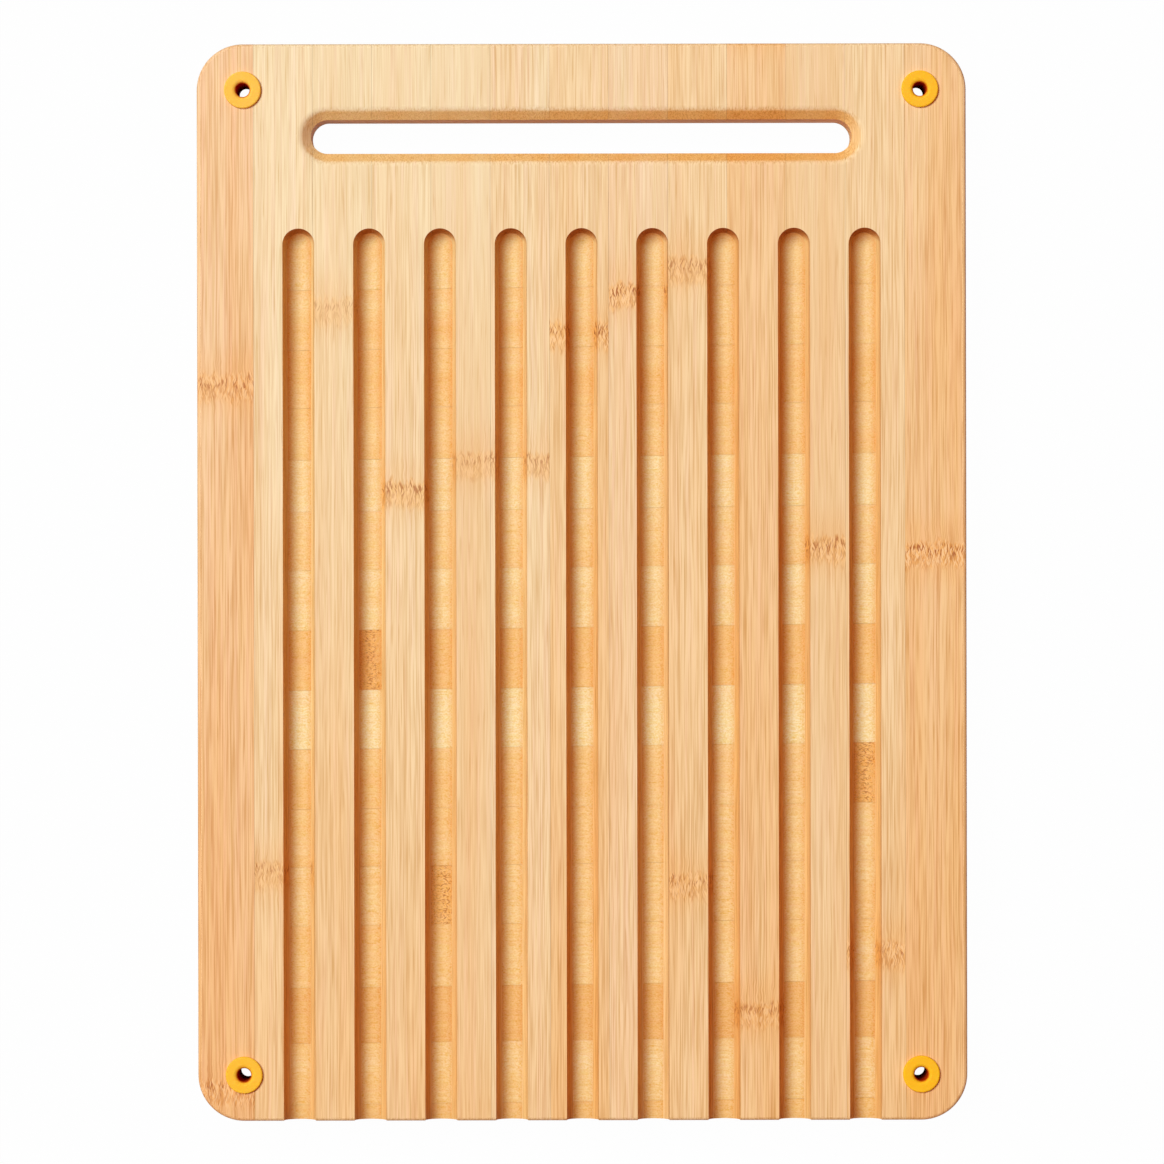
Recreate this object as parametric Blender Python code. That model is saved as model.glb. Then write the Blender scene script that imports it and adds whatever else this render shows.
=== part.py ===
"""Bread board of three crossed layers of bamboo strips, on silicone grommets.

Each strip starts as a plain planed bar. The outline with its rounded edges, the hand slot, the
crumb grooves and the corner holes are then cut through every bar that they meet, as the glued
board is cut on a router. Metres, +Z up: the board lies on its grommets with the grooves on top,
and +Y points to the end with the hand slot.
"""

import itertools
import math

import bmesh
import bpy
from mathutils import Matrix, Vector

# Board outline
BOARD_LENGTH = 0.350
BOARD_WIDTH = 0.250
CORNER_RADIUS = 0.015
EDGE_RADIUS = 0.0012

# Layers of bamboo strips
FACE_PLY = 0.006
CORE_PLY = 0.008
BACK_PLY = 0.006
GLUE_LINE = 0.00005
LENGTHWISE_STRIP_COUNT = 13
FACE_LAYUP_SHIFT_SHARE = -0.042
BACK_LAYUP_SHIFT_SHARE = 0.042
CORE_WIDTH_SHARES = (
    0.29, 1.03, 0.94, 1.04, 0.99, 0.97, 1.01, 0.99, 1.01, 1.01,
    0.99, 0.87, 0.87, 0.98, 1.01, 1.02, 1.01, 1.02, 1.01,
)
CORE_SKEW = math.radians(0.65)

# Hand slot, with a sloping flare at both mouths that eases into the face
SLOT_LENGTH = 0.176
SLOT_WIDTH = 0.011
SLOT_FROM_REAR = 0.030
SLOT_FLARE = 0.0045
SLOT_FLARE_ANGLE = math.radians(45)
SLOT_EASING_RADIUS = 0.003

# Crumb grooves
GROOVE_COUNT = 9
GROOVE_PITCH = 0.023
GROOVE_WIDTH = 0.0104
GROOVE_FROM_REAR = 0.060
GROOVE_DEPTH_REAR = 0.00785
GROOVE_DEPTH_FRONT = 0.0071

# Silicone grommets
GROMMET_FROM_EDGE = 0.015
FLANGE_DIAMETER = 0.012
FLANGE_HEIGHT = 0.0012
FLANGE_EDGE_RADIUS = 0.0005
WAIST_DIAMETER = 0.008
BORE_DIAMETER = 0.0044
BORE_MOUTH_RADIUS = 0.0014
HOLE_CLEARANCE = 0.0003
SEAT_GAP = 0.00005

# How far a bar or a cutter runs past the surface that it is cut at
OVERRUN = 0.002

# Points closer than this are one point
MERGE_DISTANCE = 0.00001

# Smoothness of the round shapes, and the angle within which a face counts as square to an axis
CORNER_SEGMENTS = 8
EDGE_SEGMENTS = 4
SLOT_END_SEGMENTS = 10
SLOT_EASING_SEGMENTS = 3
GROOVE_QUARTER_SEGMENTS = 5
GROMMET_SEGMENTS = 24
FILLET_SEGMENTS = 3
SQUARE_WITHIN = math.radians(1)

# Finishes: linear colours, and how far each strip lies from the pale to the brown one
PALE_BAMBOO = (0.87, 0.60, 0.34)
BROWN_BAMBOO = (0.60, 0.33, 0.13)
AMBER_SILICONE = (0.98, 0.47, 0.02)
BAMBOO_ROUGHNESS = 0.55
SILICONE_ROUGHNESS = 0.45
LENGTHWISE_TONE_SHARES = (0.24, 0.05, 0.02, 0.05, 0.08, 0.10, 0.12, 0.16, 0.18, 0.22, 0.20, 0.14, 0.24)
CROSSWISE_TONE_SHARES = (
    0.42, 0.26, 0.70, 0.44, 0.30, 0.28, 0.56, 0.06, 0.76, 0.22,
    0.44, 0.20, 0.52, 0.54, 0.34, 0.30, 0.40, 0.28, 0.36,
)

# Places that follow from the sizes above
BOARD_BOTTOM = FLANGE_HEIGHT + SEAT_GAP
CORE_BOTTOM = BOARD_BOTTOM + BACK_PLY
CORE_TOP = CORE_BOTTOM + CORE_PLY
BOARD_TOP = CORE_TOP + FACE_PLY
BOARD_MIDDLE = (BOARD_BOTTOM + BOARD_TOP) / 2
BOARD_THICKNESS = BOARD_TOP - BOARD_BOTTOM
RIGHT_EDGE = BOARD_WIDTH / 2
REAR_EDGE = BOARD_LENGTH / 2
SLOT_LINE = REAR_EDGE - SLOT_FROM_REAR
STRIP_PITCH = BOARD_WIDTH / LENGTHWISE_STRIP_COUNT


def new_object(name, bm):
    """An object whose mesh is the given bmesh, with its round faces shaded smooth."""
    bmesh.ops.recalc_face_normals(bm, faces=bm.faces)
    bm.normal_update()
    for face in bm.faces:
        face.smooth = max(abs(along) for along in face.normal) < math.cos(SQUARE_WITHIN)
    mesh = bpy.data.meshes.new(name)
    bm.to_mesh(mesh)
    bm.free()
    obj = bpy.data.objects.new(name, mesh)
    bpy.context.scene.collection.objects.link(obj)
    return obj


def new_cutter(name, bm, location):
    """A shape that only cuts others."""
    cutter = new_object(name, bm)
    cutter.location = location
    cutter.hide_render = True
    cutter.display_type = "WIRE"
    return cutter


def principled(name, color, roughness):
    material = bpy.data.materials.new(name)
    material.use_nodes = True
    shader = material.node_tree.nodes["Principled BSDF"]
    shader.inputs["Base Color"].default_value = (*color, 1)
    shader.inputs["Roughness"].default_value = roughness
    shader.inputs["Metallic"].default_value = 0
    material.diffuse_color = (*color, 1)
    return material


def bamboo(name, tone_share):
    """A bamboo finish between the pale and the brown colour."""
    color = [pale + (brown - pale) * tone_share for pale, brown in zip(PALE_BAMBOO, BROWN_BAMBOO)]
    return principled(name, color, BAMBOO_ROUGHNESS)


# Cutters


def box_mesh(size):
    bm = bmesh.new()
    bmesh.ops.create_cube(bm, size=1)
    bmesh.ops.scale(bm, vec=size, verts=bm.verts)
    return bm


def outline_cutter():
    """The finished outline: round corners, and rounded edges along both faces."""
    bm = box_mesh((BOARD_WIDTH, BOARD_LENGTH, BOARD_THICKNESS))
    corners = [edge for edge in bm.edges if edge.verts[0].co.xy == edge.verts[1].co.xy]
    bmesh.ops.bevel(
        bm, geom=corners, offset=CORNER_RADIUS, segments=CORNER_SEGMENTS,
        profile=0.5, affect="EDGES", material=-1,
    )
    rims = [edge for edge in bm.edges if edge.verts[0].co.z == edge.verts[1].co.z]
    bmesh.ops.bevel(
        bm, geom=rims, offset=EDGE_RADIUS, segments=EDGE_SEGMENTS,
        profile=0.5, affect="EDGES", material=-1,
    )
    return new_cutter("outline_cutter", bm, (0, 0, BOARD_MIDDLE))


def slot_ring(bm, radius, z):
    """The slot's outline at one height: a circle pulled apart into two round ends."""
    half_straight = (SLOT_LENGTH - SLOT_WIDTH) / 2
    step = math.pi / SLOT_END_SEGMENTS
    ring = bmesh.ops.create_circle(
        bm, segments=2 * SLOT_END_SEGMENTS, radius=radius / math.cos(step / 2),
        matrix=Matrix.Translation((0, 0, z)) @ Matrix.Rotation(step / 2, 4, "Z"),
    )["verts"]
    for vert in ring:
        vert.co.x += math.copysign(half_straight, vert.co.x)
    return list({edge for vert in ring for edge in vert.link_edges})


def slot_stations():
    """Radius and height of each ring, from under the board to above it."""
    half_width = SLOT_WIDTH / 2
    half_height = BOARD_THICKNESS / 2
    slope = SLOT_FLARE - SLOT_EASING_RADIUS * math.tan(SLOT_FLARE_ANGLE / 2)
    upper = [(half_width, half_height - slope * math.tan(SLOT_FLARE_ANGLE))]
    for step in range(SLOT_EASING_SEGMENTS, -1, -1):
        angle = SLOT_FLARE_ANGLE * step / SLOT_EASING_SEGMENTS
        out = SLOT_FLARE - SLOT_EASING_RADIUS * math.sin(angle)
        down = SLOT_EASING_RADIUS * (1 - math.cos(angle))
        upper.append((half_width + out, half_height - down))
    upper.append((half_width + SLOT_FLARE, half_height + OVERRUN))
    lower = [(radius, -z) for radius, z in reversed(upper)]
    return lower + upper


def slot_cutter():
    """The hand slot, flared at both of its mouths."""
    bm = bmesh.new()
    rings = [slot_ring(bm, radius, z) for radius, z in slot_stations()]
    for below, above in zip(rings, rings[1:]):
        bmesh.ops.bridge_loops(bm, edges=below + above)
    bmesh.ops.holes_fill(bm, edges=rings[0] + rings[-1])
    return new_cutter("slot_cutter", bm, (0, SLOT_LINE, BOARD_MIDDLE))


def groove_shape(radius, depth, run):
    """A round-nosed groove about the middle of its closed end: a half ball drawn out to the front."""
    bm = bmesh.new()
    nose = bm.verts.new((0, 0, -radius))
    side = bmesh.ops.spin(
        bm, geom=[nose], cent=(0, 0, 0), axis=(0, -1, 0),
        angle=math.radians(90), steps=GROOVE_QUARTER_SEGMENTS,
    )["geom_last"]
    top = bmesh.ops.extrude_vert_indiv(bm, verts=side)["verts"]
    bmesh.ops.translate(bm, vec=(0, 0, depth + OVERRUN), verts=top)
    bmesh.ops.spin(
        bm, geom=bm.verts[:] + bm.edges[:], cent=(0, 0, 0), axis=(0, 0, 1),
        angle=math.radians(180), steps=2 * GROOVE_QUARTER_SEGMENTS,
    )
    bmesh.ops.remove_doubles(bm, verts=bm.verts, dist=MERGE_DISTANCE)
    section = [
        edge for edge in bm.edges
        if edge.is_boundary and all(abs(vert.co.y) < MERGE_DISTANCE for vert in edge.verts)
    ]
    drawn = bmesh.ops.extrude_edge_only(bm, edges=section)["geom"]
    front = [item for item in drawn if isinstance(item, bmesh.types.BMVert)]
    bmesh.ops.translate(bm, vec=(0, -run - OVERRUN, 0), verts=front)
    highest = max(vert.co.z for vert in front)
    bm.edges.new([vert for vert in front if highest - vert.co.z < MERGE_DISTANCE])
    bmesh.ops.holes_fill(bm, edges=bm.edges)
    return bm


def groove_cutters():
    """Grooves side by side, open at the front and a little deeper at the rear."""
    radius = GROOVE_WIDTH / 2
    centre = REAR_EDGE - GROOVE_FROM_REAR - radius
    run = centre + REAR_EDGE
    depth = GROOVE_DEPTH_REAR - radius
    first = new_cutter("groove_cutter_1", groove_shape(radius, depth, run), (0, centre, BOARD_TOP - depth))
    first.rotation_euler.x = -math.atan((GROOVE_DEPTH_REAR - GROOVE_DEPTH_FRONT) / run)
    cutters = [first]
    for number in range(2, GROOVE_COUNT + 1):
        cutter = first.copy()
        cutter.name = f"groove_cutter_{number}"
        bpy.context.scene.collection.objects.link(cutter)
        cutters.append(cutter)
    for index, cutter in enumerate(cutters):
        cutter.location.x = GROOVE_PITCH * (index - (GROOVE_COUNT - 1) / 2)
    return cutters


def grommet_places():
    """Name and place of each grommet, the same distance in from both edges."""
    for end, y_sign in (("front", -1), ("rear", 1)):
        for side, x_sign in (("left", -1), ("right", 1)):
            x = x_sign * (RIGHT_EDGE - GROMMET_FROM_EDGE)
            y = y_sign * (REAR_EDGE - GROMMET_FROM_EDGE)
            yield f"{end}_{side}", Vector((x, y, BOARD_MIDDLE))


def hole_cutters():
    cutters = []
    for place, centre in grommet_places():
        bm = bmesh.new()
        radius = WAIST_DIAMETER / 2 + HOLE_CLEARANCE
        bmesh.ops.create_cone(
            bm, cap_ends=True, segments=GROMMET_SEGMENTS, radius1=radius, radius2=radius,
            depth=BOARD_THICKNESS + 2 * OVERRUN,
        )
        cutters.append(new_cutter(f"hole_cutter_{place}", bm, centre))
    return cutters


# Bamboo strips


def world_box(obj):
    corners = [obj.matrix_world @ Vector(corner) for corner in obj.bound_box]
    return [(min(along), max(along)) for along in zip(*corners)]


def meets(first, second):
    pairs = zip(world_box(first), world_box(second))
    return all(a_low < b_high and b_low < a_high for (a_low, a_high), (b_low, b_high) in pairs)


def cut_to_shape(bars, outline, cutters):
    """Trims each bar to the board's outline, then takes out what reaches it."""
    bpy.context.view_layer.update()
    for bar in bars:
        reaching = [cutter for cutter in cutters if meets(bar, cutter)]
        trim = bar.modifiers.new("outline", "BOOLEAN")
        trim.operation = "INTERSECT"
        trim.object = outline
        for cutter in reaching:
            cut = bar.modifiers.new(cutter.name, "BOOLEAN")
            cut.operation = "DIFFERENCE"
            cut.object = cutter


def planed_bar(name, x_span, y_span, z_span, tone_share):
    """A straight bar between the given places, less half a glue line on every side."""
    spans = (x_span, y_span, z_span)
    bar = new_object(name, box_mesh([high - low - GLUE_LINE for low, high in spans]))
    bar.location = [(low + high) / 2 for low, high in spans]
    bar.data.materials.append(bamboo(name, tone_share))
    return bar


def lengthwise_spans(shift_share):
    """Left and right side of each strip that runs along the board."""
    seams = [STRIP_PITCH * (index + shift_share) - RIGHT_EDGE for index in range(1, LENGTHWISE_STRIP_COUNT)]
    edges = [-RIGHT_EDGE - OVERRUN, *seams, RIGHT_EDGE + OVERRUN]
    return list(zip(edges, edges[1:]))


def severed(x_span):
    """True where the hand slot cuts a strip in two."""
    return x_span[0] > -SLOT_LENGTH / 2 and x_span[1] < SLOT_LENGTH / 2


def lengthwise_strips(prefix, spans, z_span):
    """Strips from the front edge to the rear edge, or to the hand slot where it cuts them in two."""
    bars = []
    for number, (x_span, tone_share) in enumerate(zip(spans, LENGTHWISE_TONE_SHARES), 1):
        end = SLOT_LINE if severed(x_span) else REAR_EDGE + OVERRUN
        y_span = (-REAR_EDGE - OVERRUN, end)
        bars.append(planed_bar(f"{prefix}_strip_{number:02d}", x_span, y_span, z_span, tone_share))
    return bars


def face_stubs(spans, z_span):
    """The ends of the severed face strips, between the hand slot and the rear edge."""
    y_span = (SLOT_LINE, REAR_EDGE + OVERRUN)
    return [
        planed_bar(f"face_stub_{number:02d}", x_span, y_span, z_span, tone_share)
        for number, (x_span, tone_share) in enumerate(zip(spans, LENGTHWISE_TONE_SHARES), 1)
        if severed(x_span)
    ]


def back_grip_rail(spans, z_span):
    """The ends of the severed back strips, glued into one rail."""
    ends = [x_span for x_span in spans if severed(x_span)]
    if not ends:
        return []
    x_span = (ends[0][0], ends[-1][1])
    y_span = (SLOT_LINE, REAR_EDGE + OVERRUN)
    return [planed_bar("back_grip_rail", x_span, y_span, z_span, LENGTHWISE_TONE_SHARES[0])]


def core_strips(z_span):
    """Strips across the board, laid a little out of square."""
    unit = BOARD_LENGTH / sum(CORE_WIDTH_SHARES)
    reach = RIGHT_EDGE * math.sin(CORE_SKEW) + OVERRUN
    x_span = (-RIGHT_EDGE - reach, RIGHT_EDGE + reach)
    seams = [unit * width - REAR_EDGE for width in itertools.accumulate(CORE_WIDTH_SHARES[:-1])]
    edges = [-REAR_EDGE - reach, *seams, REAR_EDGE + reach]
    bars = []
    for number, (y_span, tone_share) in enumerate(zip(zip(edges, edges[1:]), CROSSWISE_TONE_SHARES), 1):
        bar = planed_bar(f"core_strip_{number:02d}", x_span, y_span, z_span, tone_share)
        bar.rotation_euler.z = CORE_SKEW
        bars.append(bar)
    return bars


# Grommets


def quarter_arc(centre, radius, start):
    """Points (distance from the axis, height) of a quarter turn, anticlockwise from the start angle."""
    for step in range(FILLET_SEGMENTS + 1):
        angle = math.radians(start + 90 * step / FILLET_SEGMENTS)
        yield centre[0] + radius * math.cos(angle), centre[1] + radius * math.sin(angle)


def grommet_profile():
    """Half section of a grommet about its middle height: waist, flange and round bore mouth."""
    seat = BOARD_THICKNESS / 2 + SEAT_GAP
    top = BOARD_THICKNESS / 2 + BOARD_BOTTOM
    flange = FLANGE_DIAMETER / 2
    bore = BORE_DIAMETER / 2
    upper = [(WAIST_DIAMETER / 2, seat), (flange, seat)]
    upper += quarter_arc((flange - FLANGE_EDGE_RADIUS, top - FLANGE_EDGE_RADIUS), FLANGE_EDGE_RADIUS, 0)
    upper += quarter_arc((bore + BORE_MOUTH_RADIUS, top - BORE_MOUTH_RADIUS), BORE_MOUTH_RADIUS, 90)
    lower = [(out, -up) for out, up in reversed(upper)]
    return upper + lower


def grommet(name, centre, material):
    bm = bmesh.new()
    ring = [bm.verts.new((out, 0, up)) for out, up in grommet_profile()]
    section = [bm.edges.new(pair) for pair in zip(ring, ring[1:] + ring[:1])]
    bmesh.ops.spin(
        bm, geom=ring + section, cent=(0, 0, 0), axis=(0, 0, 1),
        angle=math.radians(360), steps=GROMMET_SEGMENTS, use_merge=True,
    )
    obj = new_object(name, bm)
    obj.location = centre
    obj.data.materials.append(material)
    return obj


def main():
    for old in list(bpy.data.objects):
        bpy.data.objects.remove(old)
    root = bpy.data.objects.new("bread_board", None)
    bpy.context.scene.collection.objects.link(root)

    outline = outline_cutter()
    cutters = [slot_cutter(), *groove_cutters(), *hole_cutters()]
    face_spans = lengthwise_spans(FACE_LAYUP_SHIFT_SHARE)
    face_heights = (CORE_TOP, BOARD_TOP + OVERRUN)
    back_spans = lengthwise_spans(BACK_LAYUP_SHIFT_SHARE)
    back_heights = (BOARD_BOTTOM - OVERRUN, CORE_BOTTOM)
    bars = [
        *lengthwise_strips("face", face_spans, face_heights),
        *face_stubs(face_spans, face_heights),
        *core_strips((CORE_BOTTOM, CORE_TOP)),
        *lengthwise_strips("back", back_spans, back_heights),
        *back_grip_rail(back_spans, back_heights),
    ]
    cut_to_shape(bars, outline, cutters)
    silicone = principled("amber_silicone", AMBER_SILICONE, SILICONE_ROUGHNESS)
    grommets = [grommet(f"grommet_{place}", centre, silicone) for place, centre in grommet_places()]
    for obj in [*bars, *grommets, outline, *cutters]:
        obj.parent = root


main()
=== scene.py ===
# %% [markdown]
# # The looks of a bamboo bread board
#
# The imported CAD model gives every strip of bamboo and every silicone grommet its place. This script makes
# each of them again with finer curves, gives bamboo and silicone their finishes, lays the board on a white
# table and sets a camera straight above it.

import math
import random

import bmesh
import bpy
from mathutils import Matrix, Vector


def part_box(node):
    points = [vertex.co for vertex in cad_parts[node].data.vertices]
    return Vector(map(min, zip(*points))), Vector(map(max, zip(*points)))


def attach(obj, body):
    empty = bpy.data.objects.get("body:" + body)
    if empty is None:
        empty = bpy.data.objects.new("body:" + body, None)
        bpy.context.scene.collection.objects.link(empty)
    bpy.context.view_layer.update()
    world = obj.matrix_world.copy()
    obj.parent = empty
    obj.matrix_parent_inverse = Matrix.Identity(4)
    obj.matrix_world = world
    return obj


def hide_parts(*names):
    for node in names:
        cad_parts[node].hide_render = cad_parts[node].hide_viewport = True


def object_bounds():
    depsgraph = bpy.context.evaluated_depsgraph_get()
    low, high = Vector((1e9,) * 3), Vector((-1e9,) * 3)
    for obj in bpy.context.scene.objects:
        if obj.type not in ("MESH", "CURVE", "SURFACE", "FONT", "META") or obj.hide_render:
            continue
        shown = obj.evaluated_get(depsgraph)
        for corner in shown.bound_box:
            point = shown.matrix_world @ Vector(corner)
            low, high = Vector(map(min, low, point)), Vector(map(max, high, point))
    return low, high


MM = 0.001

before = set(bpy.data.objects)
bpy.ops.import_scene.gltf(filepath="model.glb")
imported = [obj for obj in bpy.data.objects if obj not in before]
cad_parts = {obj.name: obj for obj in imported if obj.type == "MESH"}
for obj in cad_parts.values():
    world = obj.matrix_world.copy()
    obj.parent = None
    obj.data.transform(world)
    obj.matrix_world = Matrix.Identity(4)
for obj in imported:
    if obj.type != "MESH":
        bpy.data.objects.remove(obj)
cad_low, cad_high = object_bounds()
print("nodes", len(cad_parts), "size in mm", [round(side / MM, 2) for side in cad_high - cad_low])

# %% [markdown]
# ## Sizes that the frame gives
#
# The outline, the height of the board and the places of the grommets are all read from the nodes,
# so nothing is fitted by eye. The sizes of the cutters, which can't be read off a box, follow in the
# cells that need them. They are the real ones, in metres.

# %% Read the outline and the height of the board
_, face_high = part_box("face_strip_05")
back_low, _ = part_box("back_strip_01")
FACE_Z = face_high.z
BACK_Z = back_low.z
RIGHT_EDGE = cad_high.x
REAR_EDGE = cad_high.y
THICKNESS = FACE_Z - BACK_Z
MIDDLE_Z = (FACE_Z + BACK_Z) / 2
print("board", round(THICKNESS / MM, 2), "mm thick, face at", round(FACE_Z / MM, 2), "mm")

# %% [markdown]
# ## Cutters
#
# A real board is glued up from plain bars, and a router then cuts the outline, the slot and the
# grooves through all of them. The script works in the same order, because a groove that is cut
# through several bars at once runs on across their seams without a step. Each cutter is a closed
# shape with many segments, so that the curves it leaves look round from close by.
#
# The first one is the outline. It is a box whose upright edges are bevelled to the corner radius,
# and whose level edges are then bevelled a little, as a hand feels them on the real board.

# %% The outline, with round corners and eased edges
CORNER_RADIUS = 15 * MM
EDGE_RADIUS = 1.2 * MM
CORNER_SEGMENTS = 24
EDGE_SEGMENTS = 6


def new_object(name, bm):
    """An object from a bmesh, with its faces turned outwards."""
    bmesh.ops.recalc_face_normals(bm, faces=bm.faces)
    mesh = bpy.data.meshes.new(name)
    bm.to_mesh(mesh)
    bm.free()
    obj = bpy.data.objects.new(name, mesh)
    bpy.context.scene.collection.objects.link(obj)
    return obj


def box_mesh(size):
    """A box about the origin."""
    bm = bmesh.new()
    bmesh.ops.create_cube(bm, size=1)
    bmesh.ops.scale(bm, vec=size, verts=bm.verts)
    return bm


def round_edges(bm, edges, radius, segments):
    bmesh.ops.bevel(
        bm, geom=edges, offset=radius, segments=segments, profile=0.5, affect="EDGES", material=-1
    )


bm = box_mesh((2 * RIGHT_EDGE, 2 * REAR_EDGE, THICKNESS))
upright_edges = [edge for edge in bm.edges if edge.verts[0].co.xy == edge.verts[1].co.xy]
round_edges(bm, upright_edges, CORNER_RADIUS, CORNER_SEGMENTS)
level_edges = [edge for edge in bm.edges if edge.verts[0].co.z == edge.verts[1].co.z]
round_edges(bm, level_edges, EDGE_RADIUS, EDGE_SEGMENTS)
outline_cutter = new_object("outline_cutter", bm)
outline_cutter.location.z = MIDDLE_Z
print("outline has", len(outline_cutter.data.polygons), "faces")

# %% [markdown]
# ## Hand slot
#
# The fingers go through a long slot. Both of its mouths open out at 45 degrees, and a small round
# eases each slope into the face. Rings of the slot's outline, each at its own height and width,
# are bridged into one closed shape, much as a potter stacks coils. A cutter stands out of the
# board a little, because two surfaces in one plane confuse a boolean.

# %% Stack the rings of the slot
SLOT_LENGTH = 176 * MM
SLOT_WIDTH = 11 * MM
SLOT_LINE = REAR_EDGE - 30 * MM
SLOT_FLARE = 4.5 * MM
SLOT_FLARE_ANGLE = math.radians(45)
SLOT_EASING_RADIUS = 3 * MM
SLOT_END_SEGMENTS = 48
SLOT_EASING_SEGMENTS = 10
OVERRUN = 2 * MM


def slot_ring(bm, radius, z):
    """A circle pulled apart into the two round ends of the slot."""
    half_straight = (SLOT_LENGTH - SLOT_WIDTH) / 2
    half_step = math.pi / SLOT_END_SEGMENTS / 2
    place = Matrix.Translation((0, 0, z)) @ Matrix.Rotation(half_step, 4, "Z")
    circle = bmesh.ops.create_circle(bm, segments=2 * SLOT_END_SEGMENTS, radius=radius, matrix=place)
    for vert in circle["verts"]:
        vert.co.x += math.copysign(half_straight, vert.co.x)
    return list({edge for vert in circle["verts"] for edge in vert.link_edges})


slope = SLOT_FLARE - SLOT_EASING_RADIUS * math.tan(SLOT_FLARE_ANGLE / 2)
stations = [(SLOT_WIDTH / 2, THICKNESS / 2 - slope * math.tan(SLOT_FLARE_ANGLE))]
for step in range(SLOT_EASING_SEGMENTS, -1, -1):
    angle = SLOT_FLARE_ANGLE * step / SLOT_EASING_SEGMENTS
    out = SLOT_FLARE - SLOT_EASING_RADIUS * math.sin(angle)
    down = SLOT_EASING_RADIUS * (1 - math.cos(angle))
    stations.append((SLOT_WIDTH / 2 + out, THICKNESS / 2 - down))
stations.append((SLOT_WIDTH / 2 + SLOT_FLARE, THICKNESS / 2 + OVERRUN))
stations = [(radius, -z) for radius, z in reversed(stations)] + stations

bm = bmesh.new()
rings = [slot_ring(bm, radius, z) for radius, z in stations]
for below, above in zip(rings, rings[1:]):
    bmesh.ops.bridge_loops(bm, edges=below + above)
bmesh.ops.holes_fill(bm, edges=rings[0] + rings[-1])
slot_cutter = new_object("slot_cutter", bm)
slot_cutter.location = (0, SLOT_LINE, MIDDLE_Z)
print("slot has", len(stations), "rings")

# %% [markdown]
# ## Crumb grooves
#
# A round-nosed bit plunges in and is then drawn to the front edge, a little shallower as it goes.
# Half a ball makes the closed end, and its open side is pulled out along the board. All nine
# grooves are cut by the same bit, so one function makes each cutter.

# %% Turn the round end and draw the groove out
GROOVE_COUNT = 9
GROOVE_PITCH = 23 * MM
GROOVE_WIDTH = 10.4 * MM
GROOVE_FROM_REAR = 60 * MM
GROOVE_DEPTH_REAR = 7.85 * MM
GROOVE_DEPTH_FRONT = 7.1 * MM
GROOVE_QUARTER_SEGMENTS = 14
GROOVE_AXES = [GROOVE_PITCH * (index - (GROOVE_COUNT - 1) / 2) for index in range(GROOVE_COUNT)]
MERGE_DISTANCE = 0.01 * MM


def groove_mesh(radius, straight_side, run):
    """A groove about the middle of its closed end, with upright sides above the round nose."""
    bm = bmesh.new()
    nose = bm.verts.new((0, 0, -radius))
    side = bmesh.ops.spin(
        bm, geom=[nose], cent=(0, 0, 0), axis=(0, -1, 0),
        angle=math.radians(90), steps=GROOVE_QUARTER_SEGMENTS,
    )["geom_last"]
    top = bmesh.ops.extrude_vert_indiv(bm, verts=side)["verts"]
    bmesh.ops.translate(bm, vec=(0, 0, straight_side + OVERRUN), verts=top)
    bmesh.ops.spin(
        bm, geom=bm.verts[:] + bm.edges[:], cent=(0, 0, 0), axis=(0, 0, 1),
        angle=math.radians(180), steps=2 * GROOVE_QUARTER_SEGMENTS,
    )
    bmesh.ops.remove_doubles(bm, verts=bm.verts, dist=MERGE_DISTANCE)
    section = [e for e in bm.edges if e.is_boundary and all(abs(v.co.y) < MERGE_DISTANCE for v in e.verts)]
    drawn = bmesh.ops.extrude_edge_only(bm, edges=section)["geom"]
    front = [item for item in drawn if isinstance(item, bmesh.types.BMVert)]
    bmesh.ops.translate(bm, vec=(0, -run - OVERRUN, 0), verts=front)
    highest = max(vert.co.z for vert in front)
    bm.edges.new([vert for vert in front if highest - vert.co.z < MERGE_DISTANCE])
    bmesh.ops.holes_fill(bm, edges=bm.edges)
    return bm


groove_radius = GROOVE_WIDTH / 2
groove_centre = REAR_EDGE - GROOVE_FROM_REAR - groove_radius
groove_run = groove_centre + REAR_EDGE
straight_side = GROOVE_DEPTH_REAR - groove_radius
groove_slope = math.atan((GROOVE_DEPTH_REAR - GROOVE_DEPTH_FRONT) / groove_run)
groove_cutters = []
for index, axis in enumerate(GROOVE_AXES):
    cutter = new_object(f"groove_cutter_{index + 1}", groove_mesh(groove_radius, straight_side, groove_run))
    cutter.rotation_euler.x = -groove_slope
    cutter.location = (axis, groove_centre, FACE_Z - straight_side)
    groove_cutters.append(cutter)
print(len(groove_cutters), "grooves,", round(groove_run / MM, 1), "mm long")

# %% [markdown]
# ## Holes for the grommets
#
# Each corner has a round hole. The grommet boxes give the centres, and the hole is a little wider
# than the waist of the grommet that goes through it.

# %% Bore the corner holes
WAIST_DIAMETER = 8 * MM
HOLE_CLEARANCE = 0.3 * MM
TURNED_SEGMENTS = 96
GROMMET_PLACES = ("front_left", "front_right", "rear_left", "rear_right")


def middle(node):
    low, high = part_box(node)
    return (low + high) / 2


hole_radius = WAIST_DIAMETER / 2 + HOLE_CLEARANCE
hole_cutters = []
for place in GROMMET_PLACES:
    bm = bmesh.new()
    bmesh.ops.create_cone(
        bm, cap_ends=True, segments=TURNED_SEGMENTS, radius1=hole_radius, radius2=hole_radius,
        depth=THICKNESS + 2 * OVERRUN,
    )
    cutter = new_object(f"hole_cutter_{place}", bm)
    cutter.location = middle(f"grommet_{place}")
    hole_cutters.append(cutter)
print(len(hole_cutters), "holes of", round(2 * hole_radius / MM, 1), "mm")

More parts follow.
